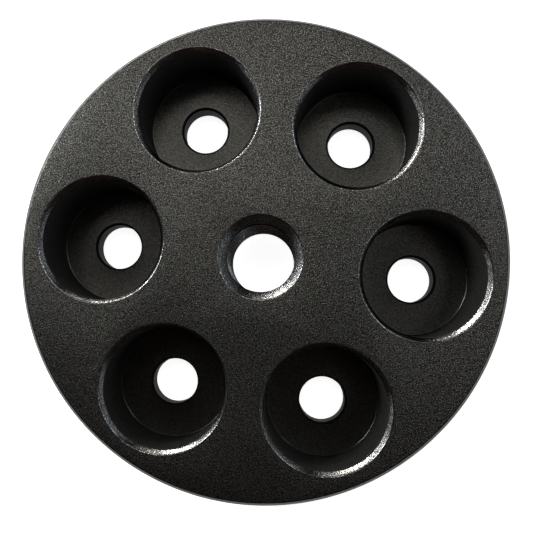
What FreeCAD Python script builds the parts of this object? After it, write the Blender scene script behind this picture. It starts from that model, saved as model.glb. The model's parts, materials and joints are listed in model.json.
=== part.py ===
import FreeCAD, Part
import os

# Tool holder extension adapter: one round steel disc, bored from above.
# Six counterbored bolt holes stand on a circle around a tapped hole in the middle.
# Millimetres. The origin is the centre of the bottom face, and +Z points out of the open side.

# Disc
disc_diameter = 80.0
disc_height = 16.0
rim_chamfer = 0.4

# Six counterbored bolt holes, the first of them on the +X axis
pocket_count = 6
pocket_circle_diameter = 53.5
pocket_diameter = 20.0
pocket_depth = 12.0
pocket_mouth_chamfer = 0.75
pocket_corner_chamfer = 0.3
bolt_hole_diameter = 8.1
bolt_hole_chamfer = 0.4

# Tapped hole in the middle, a plain bore at the crests of its M14 x 2 thread
thread_diameter = 14.0
thread_core_diameter = 11.84
countersink_clearance = 0.2

VERTICAL = FreeCAD.Vector(0, 0, 1)
AXIS_FOOT = FreeCAD.Vector(0, 0, 0)


def point(radius, height):
    """A point of a half profile, in the XZ plane."""
    return FreeCAD.Vector(radius, 0, height)


def line(start, end):
    return Part.LineSegment(point(*start), point(*end)).toShape()


def polyline(corners):
    return [line(start, end) for start, end in zip(corners, corners[1:])]


def turned(edges):
    """The solid that a closed half profile sweeps in one turn about the vertical axis."""
    profile = Part.Face(Part.Wire(edges))
    return profile.revolve(AXIS_FOOT, VERTICAL, 360)


def disc_blank():
    """The turned disc, with a small chamfer at the top and bottom of its rim."""
    radius = disc_diameter / 2
    flat = radius - rim_chamfer
    shoulder = disc_height - rim_chamfer
    return turned(polyline([
        (0, 0),
        (flat, 0),
        (radius, rim_chamfer),
        (radius, shoulder),
        (flat, disc_height),
        (0, disc_height),
        (0, 0),
    ]))


def counterbore_cutter():
    """One bolt hole with its pocket, on the vertical axis.

    From below: edge chamfer, bolt hole, edge chamfer, pocket floor, corner left by the cutter, wall,
    mouth chamfer.
    """
    hole = bolt_hole_diameter / 2
    wall = pocket_diameter / 2
    floor = disc_height - pocket_depth
    return turned(polyline([
        (0, 0),
        (hole + bolt_hole_chamfer, 0),
        (hole, bolt_hole_chamfer),
        (hole, floor - bolt_hole_chamfer),
        (hole + bolt_hole_chamfer, floor),
        (wall - pocket_corner_chamfer, floor),
        (wall, floor + pocket_corner_chamfer),
        (wall, disc_height - pocket_mouth_chamfer),
        (wall + pocket_mouth_chamfer, disc_height),
        (0, disc_height),
        (0, 0),
    ]))


def tapped_hole_cutter():
    """The middle hole, countersunk at both faces to just over the thread's outside diameter."""
    core = thread_core_diameter / 2
    mouth = (thread_diameter + countersink_clearance) / 2
    countersink_depth = mouth - core
    return turned(polyline([
        (0, 0),
        (mouth, 0),
        (core, countersink_depth),
        (core, disc_height - countersink_depth),
        (mouth, disc_height),
        (0, disc_height),
        (0, 0),
    ]))


def counterbore_cutters():
    """The bolt hole repeated evenly round the pocket circle."""
    cutters = []
    for number in range(pocket_count):
        cutter = counterbore_cutter()
        cutter.translate(FreeCAD.Vector(pocket_circle_diameter / 2, 0, 0))
        cutter.rotate(AXIS_FOOT, VERTICAL, number * 360 / pocket_count)
        cutters.append(cutter)
    return cutters


def adapter_body():
    return disc_blank().cut(counterbore_cutters() + [tapped_hole_cutter()])


os.makedirs("parts", exist_ok=True)
body = adapter_body()
body.exportStep("parts/adapter_body.step")
print("adapter_body", len(body.Solids), "solid, volume", round(body.Volume, 1), "mm3")
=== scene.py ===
import json
import math
import bpy
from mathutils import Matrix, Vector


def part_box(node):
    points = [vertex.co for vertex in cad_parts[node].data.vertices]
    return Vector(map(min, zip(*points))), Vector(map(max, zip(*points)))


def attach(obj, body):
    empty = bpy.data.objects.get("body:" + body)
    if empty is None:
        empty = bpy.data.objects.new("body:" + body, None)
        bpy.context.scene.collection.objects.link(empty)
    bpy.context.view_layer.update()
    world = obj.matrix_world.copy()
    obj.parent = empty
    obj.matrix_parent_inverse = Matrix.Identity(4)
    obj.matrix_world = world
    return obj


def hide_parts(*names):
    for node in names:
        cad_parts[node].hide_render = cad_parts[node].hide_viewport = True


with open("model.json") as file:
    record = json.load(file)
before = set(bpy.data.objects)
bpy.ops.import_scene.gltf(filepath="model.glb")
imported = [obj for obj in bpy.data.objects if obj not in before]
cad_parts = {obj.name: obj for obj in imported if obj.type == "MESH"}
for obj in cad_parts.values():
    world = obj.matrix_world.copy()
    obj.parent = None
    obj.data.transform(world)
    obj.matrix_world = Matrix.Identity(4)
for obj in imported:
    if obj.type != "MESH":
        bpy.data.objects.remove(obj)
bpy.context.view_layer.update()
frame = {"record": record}        # the disc stands on its bottom face at z 0, with its open side up
print("frame loaded")

mm = 0.001
mounts = {mount["name"]: mount["dims"] for mount in frame["record"]["mounts"]}
bodyLow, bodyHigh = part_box("adapter_body")


# node helpers

def newMaterial(name):
    made = bpy.data.materials.new(name)
    made.use_nodes = True
    made.node_tree.nodes.clear()
    return made


def addNode(tree, kind, place=(0, 0), **values):
    node = tree.nodes.new(kind)
    node.location = place
    for key, value in values.items():
        setattr(node, key, value)
    return node


def newGroup(name, inputName, outputNames):
    group = bpy.data.node_groups.new(name, "ShaderNodeTree")
    group.interface.new_socket(inputName, in_out="INPUT", socket_type="NodeSocketFloat")
    for outputName in outputNames:
        group.interface.new_socket(outputName, in_out="OUTPUT", socket_type="NodeSocketFloat")
    entry = addNode(group, "NodeGroupInput", (-900, 0))
    result = addNode(group, "NodeGroupOutput", (400, 0))
    return group, entry, result


def setInputs(node, **values):
    for key, value in values.items():
        node.inputs[key.replace("_", " ")].default_value = value


def feed(tree, socket, value):
    # a socket takes another node's output or a plain value
    if isinstance(value, bpy.types.NodeSocket):
        tree.links.new(value, socket)
    else:
        socket.default_value = value


def noiseNode(tree, coordinates, scale, look, place=(0, 0)):
    node = addNode(tree, "ShaderNodeTexNoise", place)
    setInputs(node, Detail=look["detail"], Roughness=look["roughness"])
    feed(tree, node.inputs["Scale"], scale)
    feed(tree, node.inputs["Vector"], coordinates)
    return node.outputs["Fac"]


def mathNode(tree, operation, first, second, place=(0, 0)):
    node = addNode(tree, "ShaderNodeMath", place, operation=operation)
    feed(tree, node.inputs[0], first)
    feed(tree, node.inputs[1], second)
    return node.outputs[0]


def rangeNode(tree, value, span, results, place=(0, 0)):
    node = addNode(tree, "ShaderNodeMapRange", place)
    setInputs(node, From_Min=span[0], From_Max=span[1], To_Min=results[0], To_Max=results[1])
    feed(tree, node.inputs["Value"], value)
    return node.outputs["Result"]


def mixColours(tree, share, first, second, place=(0, 0)):
    node = addNode(tree, "ShaderNodeMix", place, data_type="RGBA")
    feed(tree, node.inputs["Factor"], share)
    feed(tree, node.inputs["A"], first)
    feed(tree, node.inputs["B"], second)
    return node.outputs["Result"]


def groupNode(tree, group, place=(0, 0), **values):
    node = addNode(tree, "ShaderNodeGroup", place, node_tree=group)
    setInputs(node, **values)
    return node


def bumpNode(tree, height, depth, under, place=(0, 0)):
    # relief of a depth in millimetres, laid over the normal of the relief under it
    node = addNode(tree, "ShaderNodeBump", place)
    setInputs(node, Strength=1.0, Distance=depth * mm)
    feed(tree, node.inputs["Height"], height)
    if under is not None:
        feed(tree, node.inputs["Normal"], under)
    return node.outputs["Normal"]


# shared effect: small pits and crumbs, as blasting leaves them
grainLook = {
    "pits": {"detail": 1.0, "roughness": 0.5},
    "crumbs": {"detail": 0.0, "roughness": 0.5},
    "crumbScale": 1.3,             # times the scale of the pits
    "crumbSpan": (0.54, 0.72),     # noise at which a crumb begins and is whole
    "pitSpan": (0.38, 0.62),       # height at the dark of a pit and at the light between pits
}


def makeGrainGroup():
    group, entry, result = newGroup("blastGrain", "Scale", ["Height", "Crumbs"])
    place = addNode(group, "ShaderNodeTexCoord", (-900, 200)).outputs["Object"]
    pits = noiseNode(group, place, entry.outputs["Scale"], grainLook["pits"], (-500, 200))
    scale = mathNode(group, "MULTIPLY", entry.outputs["Scale"], grainLook["crumbScale"], (-700, -60))
    crumbs = noiseNode(group, place, scale, grainLook["crumbs"], (-500, -60))
    crumbs = rangeNode(group, crumbs, grainLook["crumbSpan"], (0.0, 1.0), (-100, -60))
    group.links.new(pits, result.inputs["Height"])
    group.links.new(crumbs, result.inputs["Crumbs"])
    return group


# shared effect: fine rings around the vertical axis, as a turning tool leaves them
ringLook = {"detail": 2.0, "roughness": 0.6}


def makeRingGroup():
    group, entry, result = newGroup("turnedRings", "Spacing", ["Height"])
    place = addNode(group, "ShaderNodeTexCoord", (-900, 200)).outputs["Object"]
    parts = addNode(group, "ShaderNodeSeparateXYZ", (-700, 200))
    group.links.new(place, parts.inputs["Vector"])
    level = mathNode(group, "DIVIDE", parts.outputs["Z"], entry.outputs["Spacing"], (-500, 200))
    joined = addNode(group, "ShaderNodeCombineXYZ", (-300, 200))
    group.links.new(level, joined.inputs["Z"])
    rings = noiseNode(group, joined.outputs["Vector"], 1.0, ringLook, (-100, 200))
    group.links.new(rings, result.inputs["Height"])
    return group


# shared effect: short slanted strokes across a cut band, laid on the turning map
turningMap = "turning"   # runs round each hole's axis and up, in metres
strokeLook = {
    "slant": 25.0,       # degrees
    "stretch": 0.3,
    "detail": 2.0,
    "roughness": 0.6,
}


def makeStrokeGroup():
    group, entry, result = newGroup("cutStrokes", "Scale", ["Height"])
    place = addNode(group, "ShaderNodeUVMap", (-900, 200), uv_map=turningMap)
    slant = addNode(group, "ShaderNodeMapping", (-700, 200))
    slant.inputs["Rotation"].default_value = (0, 0, math.radians(strokeLook["slant"]))
    slant.inputs["Scale"].default_value = (1, strokeLook["stretch"], 1)
    group.links.new(place.outputs["UV"], slant.inputs["Vector"])
    strokes = noiseNode(group, slant.outputs["Vector"], entry.outputs["Scale"], strokeLook, (-300, 200))
    group.links.new(strokes, result.inputs["Height"])
    return group


grainGroup = makeGrainGroup()
ringGroup = makeRingGroup()
strokeGroup = makeStrokeGroup()


# a steel finish: dark in its pits and lighter on its crumbs, over rings and strokes where it has them
def makeSteel(name, look):
    made = newMaterial(name)
    tree = made.node_tree
    shader = addNode(tree, "ShaderNodeBsdfPrincipled", (600, 0))
    setInputs(shader, Metallic=look["metallic"], Specular_IOR_Level=look["specular"])
    grain = groupNode(tree, grainGroup, (-600, 0), Scale=look["grainScale"])

    lit = rangeNode(tree, grain.outputs["Height"], grainLook["pitSpan"], (0.0, 1.0), (-300, 0))
    colour = mixColours(tree, lit, look["dark"], look["light"], (0, 200))
    crumbed = mathNode(tree, "MULTIPLY", grain.outputs["Crumbs"], look["crumbShare"], (0, 0))
    colour = mixColours(tree, crumbed, colour, look["crumb"], (250, 200))
    tree.links.new(colour, shader.inputs["Base Color"])

    roughSpan = (look["roughness"], look["crumbRoughness"])
    rough = rangeNode(tree, grain.outputs["Crumbs"], (0.0, 1.0), roughSpan, (250, 0))
    tree.links.new(rough, shader.inputs["Roughness"])

    normal = None
    if look["ringDepth"] > 0:
        rings = groupNode(tree, ringGroup, (-600, -300), Spacing=look["ringSpacing"] * mm)
        normal = bumpNode(tree, rings.outputs["Height"], look["ringDepth"], normal, (0, -300))
    if look["strokeDepth"] > 0:
        strokes = groupNode(tree, strokeGroup, (-600, -500), Scale=look["strokeScale"])
        normal = bumpNode(tree, strokes.outputs["Height"], look["strokeDepth"], normal, (100, -500))
    normal = bumpNode(tree, grain.outputs["Height"], look["grainDepth"], normal, (250, -300))
    tree.links.new(normal, shader.inputs["Normal"])

    output = addNode(tree, "ShaderNodeOutputMaterial", (900, 0))
    tree.links.new(shader.outputs["BSDF"], output.inputs["Surface"])
    return made


# finishes: depths and spacings are in millimetres, and scales are those of the noise, per metre
warmRatio = 12           # a warm grey's blue falls this many times as much as its green


def grey(level, warmth=0.0):
    return (level, level * (1 - warmth / warmRatio), level * (1 - warmth), 1)


# the outside: blasted and blackened
sandFinish = {
    "metallic": 0.95,
    "specular": 0.5,
    "dark": grey(0.011, 0.11),
    "light": grey(0.054, 0.11),
    "crumb": grey(0.25, 0.06),
    "crumbShare": 0.7,
    "roughness": 0.35,
    "crumbRoughness": 0.28,
    "grainScale": 4800.0,
    "grainDepth": 0.06,
    "ringDepth": 0.0,
    "strokeDepth": 0.0,
}

# pocket walls: bored smooth, then blackened
wallFinish = {
    "metallic": 0.0,
    "specular": 0.03,
    "dark": grey(0.008, 0.12),
    "light": grey(0.018, 0.12),
    "crumb": grey(0.10),
    "crumbShare": 0.4,
    "roughness": 0.45,
    "crumbRoughness": 0.40,
    "grainScale": 4600.0,
    "grainDepth": 0.04,
    "ringSpacing": 0.22,
    "ringDepth": 0.006,
    "strokeDepth": 0.0,
}

# pocket floors and the corners around them: faced, and shinier than the walls
floorFinish = wallFinish | {
    "metallic": 0.95,
    "specular": 0.3,
    "dark": grey(0.022, 0.10),
    "light": grey(0.050, 0.10),
    "crumb": grey(0.12, 0.06),
    "crumbShare": 0.15,
    "roughness": 0.30,
    "crumbRoughness": 0.26,
    "grainDepth": 0.02,
    "ringDepth": 0.0,
}
# the corner fillets: the floors' finish in a lighter colour, a painted highlight for the thin light line
# round the foot of each pocket
cornerHighlightFinish = floorFinish | {"dark": grey(0.035, 0.06), "light": grey(0.055, 0.06)}

# the lips and bores of the bolt holes, and the thread's crests: oxide too matt to mirror the white floor;
# the lips and the crests are near black as painted shade, for the dark ring at each end of a bolt hole and
# the dark gaps between the thread's turns
lipShadeFinish = wallFinish | {
    "specular": 0.1,
    "dark": grey(0.002),
    "light": grey(0.004),
    "crumbShare": 0.0,
    "roughness": 0.7,
    "crumbRoughness": 0.7,
}
boreFinish = lipShadeFinish | {"dark": grey(0.02), "light": grey(0.03), "specular": 0.12}
# the thread's crests: near black, a painted shade for the dark gaps between the thread's turns
crestShadeFinish = lipShadeFinish | {"dark": grey(0.006), "light": grey(0.012), "specular": 0.0}

# mouth chamfers, and after them the countersinks, the thread's grooves, the rounded edges and the rim:
# cut last, through the finish
cutFinish = {
    "metallic": 1.0,
    "specular": 0.5,
    "dark": grey(0.025),
    "light": grey(0.20),
    "crumb": grey(0.55),
    "crumbShare": 0.7,
    "roughness": 0.22,
    "crumbRoughness": 0.16,
    "grainScale": 4600.0,
    "grainDepth": 0.02,
    "ringDepth": 0.0,
    "strokeScale": 3600.0,
    "strokeDepth": 0.03,
}
sinkFinish = cutFinish | {"dark": grey(0.05), "light": grey(0.24), "crumb": grey(0.60), "grainDepth": 0.04}
grooveFinish = cutFinish | {
    "dark": grey(0.20),
    "light": grey(0.40),
    "crumb": grey(0.60),
    "crumbShare": 0.4,
    "roughness": 0.30,
    "crumbRoughness": 0.24,
    "strokeDepth": 0.0,
}
edgeFinish = cutFinish | {"dark": grey(0.04), "light": grey(0.11), "crumb": grey(0.50), "strokeDepth": 0.0}
rimFinish = cutFinish | {
    "dark": grey(0.025, 0.06),
    "light": grey(0.050, 0.06),
    "crumb": grey(0.10, 0.04),
    "strokeDepth": 0.0,
}

sandBlack = makeSteel("sandBlack", sandFinish)
wallBlack = makeSteel("wallBlack", wallFinish)
floorBlack = makeSteel("floorBlack", floorFinish)
cornerBlack = makeSteel("cornerBlack", cornerHighlightFinish)
lipBlack = makeSteel("lipBlack", lipShadeFinish)
boreBlack = makeSteel("boreBlack", boreFinish)
grooveSteel = makeSteel("grooveSteel", grooveFinish)
crestBlack = makeSteel("crestBlack", crestShadeFinish)
cutSteel = makeSteel("cutSteel", cutFinish)
sinkSteel = makeSteel("sinkSteel", sinkFinish)
edgeSteel = makeSteel("edgeSteel", edgeFinish)
rimSteel = makeSteel("rimSteel", rimFinish)
finishes = [sandBlack, wallBlack, floorBlack, cornerBlack, lipBlack, boreBlack, grooveSteel, crestBlack,
            cutSteel, sinkSteel, edgeSteel, rimSteel]
print("materials made")


# modelling helpers; all sizes from here to the floor are in millimetres

def selectOnly(piece):
    bpy.ops.object.select_all(action="DESELECT")
    piece.select_set(True)
    bpy.context.view_layer.objects.active = piece


def turnForm(name, stations, segments, x=0.0, y=0.0):
    # a circle drawn up through (radius, height, finish of the wall below) stations, closed at both ends
    radius, height = stations[0][:2]
    bpy.ops.object.select_all(action="DESELECT")
    bpy.ops.mesh.primitive_circle_add(vertices=segments, radius=radius * mm, fill_type="NGON",
                                      location=(x * mm, y * mm, height * mm))
    form = bpy.context.object
    form.name = name
    bpy.ops.object.transform_apply(location=True, rotation=True, scale=True)
    bpy.ops.object.mode_set(mode="EDIT")
    bpy.ops.mesh.select_mode(type="FACE")
    bpy.ops.mesh.select_all(action="SELECT")
    for nextRadius, nextHeight, _ in stations[1:]:
        rise = (nextHeight - height) * mm
        growth = nextRadius / radius
        bpy.ops.mesh.extrude_region_move(TRANSFORM_OT_translate={"value": (0, 0, rise)})
        bpy.ops.transform.resize(value=(growth, growth, 1),
                                 center_override=(x * mm, y * mm, nextHeight * mm))
        radius, height = nextRadius, nextHeight
    bpy.ops.mesh.select_all(action="SELECT")
    bpy.ops.mesh.normals_make_consistent(inside=False)
    bpy.ops.object.mode_set(mode="OBJECT")
    paintWalls(form, stations, x, y)
    return form


def paintWalls(form, stations, x, y):
    # each wall face takes the finish of the stretch between stations that it spans; end faces keep the first
    for finish in finishes:
        form.data.materials.append(finish)
    stretches = []
    for below, above in zip(stations, stations[1:]):
        reach = (*sorted((below[0], above[0])), *sorted((below[1], above[1])))
        stretches.append((reach, finishes.index(above[2])))
    for face in form.data.polygons:
        if len(face.vertices) > 4:
            continue
        corners = [form.data.vertices[index].co for index in face.vertices]
        radii = [math.hypot(corner.x - x * mm, corner.y - y * mm) / mm for corner in corners]
        heights = [corner.z / mm for corner in corners]
        span = (min(radii), max(radii), min(heights), max(heights))
        nearest = min(stretches, key=lambda stretch: math.dist(span, stretch[0]))
        face.material_index = nearest[1]


def cutAway(piece, cutter):
    selectOnly(piece)
    bpy.ops.object.modifier_add(type="BOOLEAN")
    cut = piece.modifiers[-1]
    cut.operation = "DIFFERENCE"
    cut.solver = "EXACT"
    cut.material_mode = "TRANSFER"
    cut.object = cutter
    bpy.ops.object.modifier_apply(modifier=cut.name)
    bpy.data.objects.remove(cutter)


# where a chamfer rolls over into the flat face around it
chamferAngle = 45.0
roundingSteps = 5


def roundingBends():
    # how far the rounding still leans at each of its points, from the chamfer to the flat face
    bends = []
    for step in range(roundingSteps + 1):
        bends.append(math.radians(chamferAngle - chamferAngle * step / roundingSteps))
    return bends


# the steel disc; its outside comes from the frame
disc = {
    "diameter": (bodyHigh.x - bodyLow.x) / mm,
    "height": bodyHigh.z / mm,
    "rimChamfer": 0.55,
    "rimRounding": 0.3,
    "segments": 360,
    "smoothAngle": 12.0,
}


def makeDisc():
    radius = disc["diameter"] / 2
    flat = radius - disc["rimChamfer"]
    rounding = disc["rimRounding"]
    centreRadius = flat - rounding * math.tan(math.radians(chamferAngle / 2))
    edge = []
    for bend in roundingBends():
        edgeRadius = centreRadius + rounding * math.sin(bend)
        edgeHeight = disc["height"] - rounding + rounding * math.cos(bend)
        edge.append((edgeRadius, edgeHeight, rimSteel))
    return turnForm("adapterDisc", [
        (flat, 0.0, sandBlack),
        (radius, disc["rimChamfer"], rimSteel),
        (radius, disc["height"] - disc["rimChamfer"], sandBlack),
        *edge,
    ], disc["segments"])


# the cutters: how far each reaches past the faces that it cuts through, and the step out to its shank
overcut = 1.0
shank = {"widen": 0.1, "lift": 0.05}


def mouthEdge(mouth, rounding, finish):
    # from the chamfer's upper end over the rounding to the top face, and then the cutter's shank
    top = disc["height"]
    edge = []
    for bend in roundingBends():
        edgeRadius = mouth - rounding * math.sin(bend)
        edgeHeight = top - rounding + rounding * math.cos(bend)
        paint = edgeSteel if edge else finish        # what ends at the first point is the chamfer
        edge.append((edgeRadius, edgeHeight, paint))
    edge.append((mouth + shank["widen"], top + shank["lift"], finish))
    edge.append((mouth + shank["widen"], top + overcut, finish))
    return edge


# the six counterbored bolt holes
pocket = {
    "count": mounts["bolt_holes"]["count"],
    "circleRadius": mounts["bolt_holes"]["pcd_mm"] / 2,
    "radius": 10.0,
    "depth": 12.0,
    "mouthChamfer": 0.75,
    "mouthRounding": 0.32,
    "cornerFillet": 0.22,
    "filletSteps": 4,
    "holeRadius": mounts["bolt_holes"]["hole_r_mm"],
    "holeChamfer": 0.4,
    "segments": 180,
}


def pocketCentre(number):
    turn = number * 2 * math.pi / pocket["count"]
    return pocket["circleRadius"] * math.cos(turn), pocket["circleRadius"] * math.sin(turn)


def makePocketCutter(number):
    hole = pocket["holeRadius"]
    wideHole = hole + pocket["holeChamfer"]
    floor = disc["height"] - pocket["depth"]
    wall = pocket["radius"]
    fillet = pocket["cornerFillet"]
    # the fillet at the foot of the wall takes the lighter corner finish, a painted highlight
    corner = []
    for step in range(1, pocket["filletSteps"] + 1):
        bend = step / pocket["filletSteps"] * math.pi / 2
        cornerRadius = wall - fillet + fillet * math.sin(bend)
        cornerHeight = floor + fillet - fillet * math.cos(bend)
        corner.append((cornerRadius, cornerHeight, cornerBlack))
    # both lips of the bolt hole take the near-black finish, a painted shade
    return turnForm(f"pocketCutter{number}", [
        (wideHole + overcut, -overcut, lipBlack),
        (hole, pocket["holeChamfer"], lipBlack),
        (hole, floor - pocket["holeChamfer"], boreBlack),
        (wideHole, floor, lipBlack),
        (wall - fillet, floor, floorBlack),
        *corner,
        (wall, disc["height"] - pocket["mouthChamfer"], wallBlack),
        *mouthEdge(wall + pocket["mouthChamfer"], pocket["mouthRounding"], cutSteel),
    ], pocket["segments"], *pocketCentre(number))


# the tapped hole in the middle: M14 x 2, with its thread as narrow and as shallow as the photograph shows it
thread = {
    "coreRadius": mounts["centre_thread"]["r_mm"],
    "crestInset": 0.27,      # how far the crests stand inside the core radius
    "grooveRadius": 6.35,
    "grooveFlat": 0.25,
    "flankAngle": 30.0,
    "pitch": 2.0,
    "endHeight": 14.05,      # just under the upper countersink
    "mouthRadius": 7.1,
    "mouthRounding": 0.32,
    "cutterInset": 0.3,      # how far the groove's cutter reaches inside the crests
    "stepsPerTurn": 120,
    "segments": 180,
    "mergeDistance": 0.0001,
}


def makeBoreCutter():
    crest = thread["coreRadius"] - thread["crestInset"]
    mouth = thread["mouthRadius"]
    sink = mouth - crest
    # the bore's wall, left as the thread's crests, takes the near-black finish, a painted shade
    return turnForm("boreCutter", [
        (mouth + overcut, -overcut, sinkSteel),
        (crest, sink, sinkSteel),
        (crest, disc["height"] - sink, crestBlack),
        *mouthEdge(mouth, thread["mouthRounding"], sinkSteel),
    ], thread["segments"])


def makeThreadCutter():
    # the ridge of the screw that fits, wound up through the bore: an upright trapezium that Screw sweeps
    inner = thread["coreRadius"] - thread["crestInset"] - thread["cutterInset"]
    outer = thread["grooveRadius"]
    outerHalf = thread["grooveFlat"] / 2
    innerHalf = outerHalf + (outer - inner) * math.tan(math.radians(thread["flankAngle"]))
    turns = math.ceil(disc["height"] / thread["pitch"])
    start = thread["endHeight"] - turns * thread["pitch"]
    bpy.ops.object.select_all(action="DESELECT")
    bpy.ops.mesh.primitive_plane_add(size=1.0, location=(0, 0, 0))
    ridge = bpy.context.object
    ridge.name = "threadCutter"
    ridge.data.materials.append(grooveSteel)
    corners = [(inner, -innerHalf), (outer, -outerHalf), (inner, innerHalf), (outer, outerHalf)]
    for corner, (radius, height) in zip(ridge.data.vertices, corners):
        corner.co = (radius * mm, 0, (height + start) * mm)
    bpy.ops.object.mode_set(mode="EDIT")
    bpy.ops.mesh.select_all(action="SELECT")
    bpy.ops.mesh.delete(type="ONLY_FACE")
    bpy.ops.object.mode_set(mode="OBJECT")
    bpy.ops.object.modifier_add(type="SCREW")
    sweep = ridge.modifiers[-1]
    sweep.axis = "Z"
    sweep.angle = 2 * math.pi
    sweep.screw_offset = thread["pitch"] * mm
    sweep.iterations = turns
    sweep.steps = thread["stepsPerTurn"]
    sweep.render_steps = thread["stepsPerTurn"]
    bpy.ops.object.modifier_apply(modifier=sweep.name)
    bpy.ops.object.mode_set(mode="EDIT")
    bpy.ops.mesh.select_all(action="SELECT")
    bpy.ops.mesh.remove_doubles(threshold=thread["mergeDistance"] * mm)
    bpy.ops.mesh.fill_holes(sides=4)
    bpy.ops.mesh.select_all(action="SELECT")
    bpy.ops.mesh.normals_make_consistent(inside=False)
    bpy.ops.object.mode_set(mode="OBJECT")
    return ridge


def layTurningMap(piece):
    # u runs round the axis of the nearest hole and v up from the bottom, so that strokes follow each cut
    layer = piece.data.uv_layers.new(name=turningMap)
    centres = [(0.0, 0.0)]
    for number in range(pocket["count"]):
        x, y = pocketCentre(number)
        centres.append((x * mm, y * mm))
    for face in piece.data.polygons:
        middle = face.center
        x, y = min(centres, key=lambda centre: math.hypot(middle.x - centre[0], middle.y - centre[1]))
        heading = math.atan2(middle.y - y, middle.x - x)
        for corner in face.loop_indices:
            spot = piece.data.vertices[piece.data.loops[corner].vertex_index].co
            swing = math.atan2(spot.y - y, spot.x - x) - heading
            swing = (swing + math.pi) % (2 * math.pi) - math.pi
            layer.data[corner].uv = ((heading + swing) * pocket["radius"] * mm, spot.z)


adapterDisc = makeDisc()
for number in range(pocket["count"]):
    cutAway(adapterDisc, makePocketCutter(number))
print("pockets cut")
cutAway(adapterDisc, makeBoreCutter())
cutAway(adapterDisc, makeThreadCutter())
selectOnly(adapterDisc)
bpy.ops.object.shade_smooth_by_angle(angle=math.radians(disc["smoothAngle"]))
layTurningMap(adapterDisc)
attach(adapterDisc, "root")
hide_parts("adapter_body")
print("thread cut,", len(adapterDisc.data.polygons), "faces")


# floor: white to the camera and in reflections, and plain white for the light that falls on it
floorLook = {"size": 4.0, "colour": (0.8, 0.8, 0.8, 1), "glow": 0.92}


def makeFloor():
    bpy.ops.object.select_all(action="DESELECT")
    bpy.ops.mesh.primitive_plane_add(size=floorLook["size"], location=(0, 0, 0))
    floor = bpy.context.object
    floor.name = "floor"
    made = newMaterial("floorWhite")
    tree = made.node_tree
    plain = addNode(tree, "ShaderNodeBsdfDiffuse", (300, 100))
    setInputs(plain, Color=floorLook["colour"])
    glow = addNode(tree, "ShaderNodeEmission", (300, -100))
    setInputs(glow, Strength=floorLook["glow"])
    dark = addNode(tree, "ShaderNodeEmission", (300, -250))
    setInputs(dark, Strength=0.0)
    path = addNode(tree, "ShaderNodeLightPath", (-300, 0)).outputs
    seen = mathNode(tree, "MAXIMUM", path["Is Camera Ray"], path["Is Glossy Ray"], (-100, 0))
    seen = mathNode(tree, "MAXIMUM", seen, path["Is Transmission Ray"], (100, 0))
    chosen = addNode(tree, "ShaderNodeMixShader", (500, -150))
    tree.links.new(seen, chosen.inputs["Fac"])
    tree.links.new(dark.outputs[0], chosen.inputs[1])
    tree.links.new(glow.outputs[0], chosen.inputs[2])
    total = addNode(tree, "ShaderNodeAddShader", (700, 0))
    tree.links.new(plain.outputs[0], total.inputs[0])
    tree.links.new(chosen.outputs[0], total.inputs[1])
    output = addNode(tree, "ShaderNodeOutputMaterial", (900, 0))
    tree.links.new(total.outputs[0], output.inputs["Surface"])
    floor.data.materials.append(made)


makeFloor()


# lights: patches of a dim room, brightest low at the image's upper left; azimuth is counted from +X towards
# +Y, and the distance from the middle of the top face
lampDistance = 0.55
lamps = {
    "lowWindow": {"azimuth": 126.5, "elevation": 3, "width": 0.29, "height": 0.09,
                  "radiance": 36.0, "colour": (1.00, 0.95, 0.88)},
    "lowWindowLeft": {"azimuth": 156.5, "elevation": 3, "width": 0.29, "height": 0.09,
                      "radiance": 6.5, "colour": (0.98, 1.00, 0.96)},
    "key": {"azimuth": 156.5, "elevation": 30, "width": 0.19, "height": 0.19,
            "radiance": 23.5, "colour": (0.95, 0.98, 1.00)},
    "topStrip": {"azimuth": 99, "elevation": 9, "width": 0.20, "height": 0.18,
                 "radiance": 2.0, "colour": (1.00, 0.98, 0.90)},
    "leftStrip": {"azimuth": 190, "elevation": 8, "width": 0.32, "height": 0.18,
                  "radiance": 0.75, "colour": (0.94, 1.00, 0.98)},
    "rightStrip": {"azimuth": 20, "elevation": 10, "width": 1.10, "height": 0.20,
                   "radiance": 0.43, "colour": (0.86, 0.96, 1.00)},
    "upperRightLow": {"azimuth": 36.5, "elevation": 30, "width": 0.19, "height": 0.19,
                      "radiance": 0.95, "colour": (0.80, 0.95, 1.00)},
    "upperRight": {"azimuth": 42.5, "elevation": 46, "width": 0.19, "height": 0.19,
                   "radiance": 2.95, "colour": (0.92, 0.94, 1.00)},
    "highRight": {"azimuth": 6.5, "elevation": 62, "width": 0.19, "height": 0.19,
                  "radiance": 1.32, "colour": (1.00, 0.99, 0.97)},
    "highTop": {"azimuth": 96.5, "elevation": 64, "width": 0.17, "height": 0.17,
                "radiance": 3.7, "colour": (1.00, 0.98, 0.94)},
    "highLeft": {"azimuth": 141.5, "elevation": 62, "width": 0.19, "height": 0.19,
                 "radiance": 1.88, "colour": (1.00, 0.98, 0.96)},
    "lowerRight": {"azimuth": 320, "elevation": 40, "width": 0.24, "height": 0.24,
                   "radiance": 0.24, "colour": (0.86, 0.95, 1.00)},
    "lowerFront": {"azimuth": 262, "elevation": 32, "width": 0.26, "height": 0.20,
                   "radiance": 0.08, "colour": (1.00, 0.62, 0.50)},
    "overhead": {"azimuth": 96.5, "elevation": 79, "width": 0.19, "height": 0.19,
                 "radiance": 0.25, "colour": (0.84, 0.93, 1.00)},
}
surround = {"colour": (0.030, 0.021, 0.018, 1), "backdrop": (1.0, 1.0, 1.0, 1)}


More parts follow.
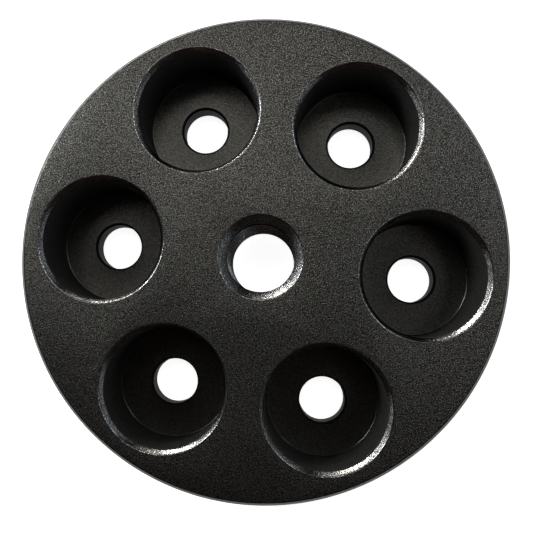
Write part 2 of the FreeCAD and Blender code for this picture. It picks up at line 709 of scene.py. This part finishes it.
def placeLamp(name, lamp):
    turn = math.radians(lamp["azimuth"])
    rise = math.radians(lamp["elevation"])
    bpy.ops.object.light_add(type="AREA")
    made = bpy.context.object
    made.name = name + "Lamp"
    made.data.shape = "RECTANGLE"
    made.data.size = lamp["width"]
    made.data.size_y = lamp["height"]
    made.data.energy = lamp["radiance"] * math.pi * lamp["width"] * lamp["height"]
    made.data.color = lamp["colour"]
    made.location = (
        lampDistance * math.cos(rise) * math.cos(turn),
        lampDistance * math.cos(rise) * math.sin(turn),
        bodyHigh.z + lampDistance * math.sin(rise),
    )
    made.rotation_euler = (math.pi / 2 - rise, 0, turn + math.pi / 2)


def makeSurround():
    # a dim room that lights the disc, and plain white where the camera looks past the floor
    world = bpy.data.worlds.new("surround")
    world.use_nodes = True
    tree = world.node_tree
    tree.nodes.clear()
    room = addNode(tree, "ShaderNodeBackground", (0, -100))
    setInputs(room, Color=surround["colour"])
    backdrop = addNode(tree, "ShaderNodeBackground", (0, 100))
    setInputs(backdrop, Color=surround["backdrop"])
    path = addNode(tree, "ShaderNodeLightPath", (0, 400))
    chosen = addNode(tree, "ShaderNodeMixShader", (300, 0))
    output = addNode(tree, "ShaderNodeOutputWorld", (500, 0))
    tree.links.new(path.outputs["Is Camera Ray"], chosen.inputs["Fac"])
    tree.links.new(room.outputs[0], chosen.inputs[1])
    tree.links.new(backdrop.outputs[0], chosen.inputs[2])
    tree.links.new(chosen.outputs[0], output.inputs["Surface"])
    bpy.context.scene.world = world


for lampName, lamp in lamps.items():
    placeLamp(lampName, lamp)
makeSurround()
print("lights placed")


# camera: just right of and below the middle, looking nearly straight down
eye = {
    "place": (4.97, -8.65, 116.09),        # millimetres
    "turn": (3.005, 3.339, 6.727),         # degrees about x, y and z
    "focalPixels": 616.6,
    "imagePixels": 533.0,
    "axisPixel": (248.6, 281.0),           # where the lens axis meets the photograph
    "sensor": 36.0,
    "nearest": 1.0,                        # millimetres; nothing closer is drawn
}


def makeCamera():
    bpy.ops.object.camera_add()
    camera = bpy.context.object
    camera.name = "eye"
    camera.location = [value * mm for value in eye["place"]]
    camera.rotation_euler = [math.radians(value) for value in eye["turn"]]
    camera.data.sensor_width = eye["sensor"]
    camera.data.lens = eye["focalPixels"] / eye["imagePixels"] * eye["sensor"]
    camera.data.shift_x = 0.5 - eye["axisPixel"][0] / eye["imagePixels"]
    camera.data.shift_y = eye["axisPixel"][1] / eye["imagePixels"] - 0.5
    camera.data.clip_start = eye["nearest"] * mm
    bpy.context.scene.camera = camera


makeCamera()
bpy.context.scene.view_settings.view_transform = "Standard"
print("camera placed")
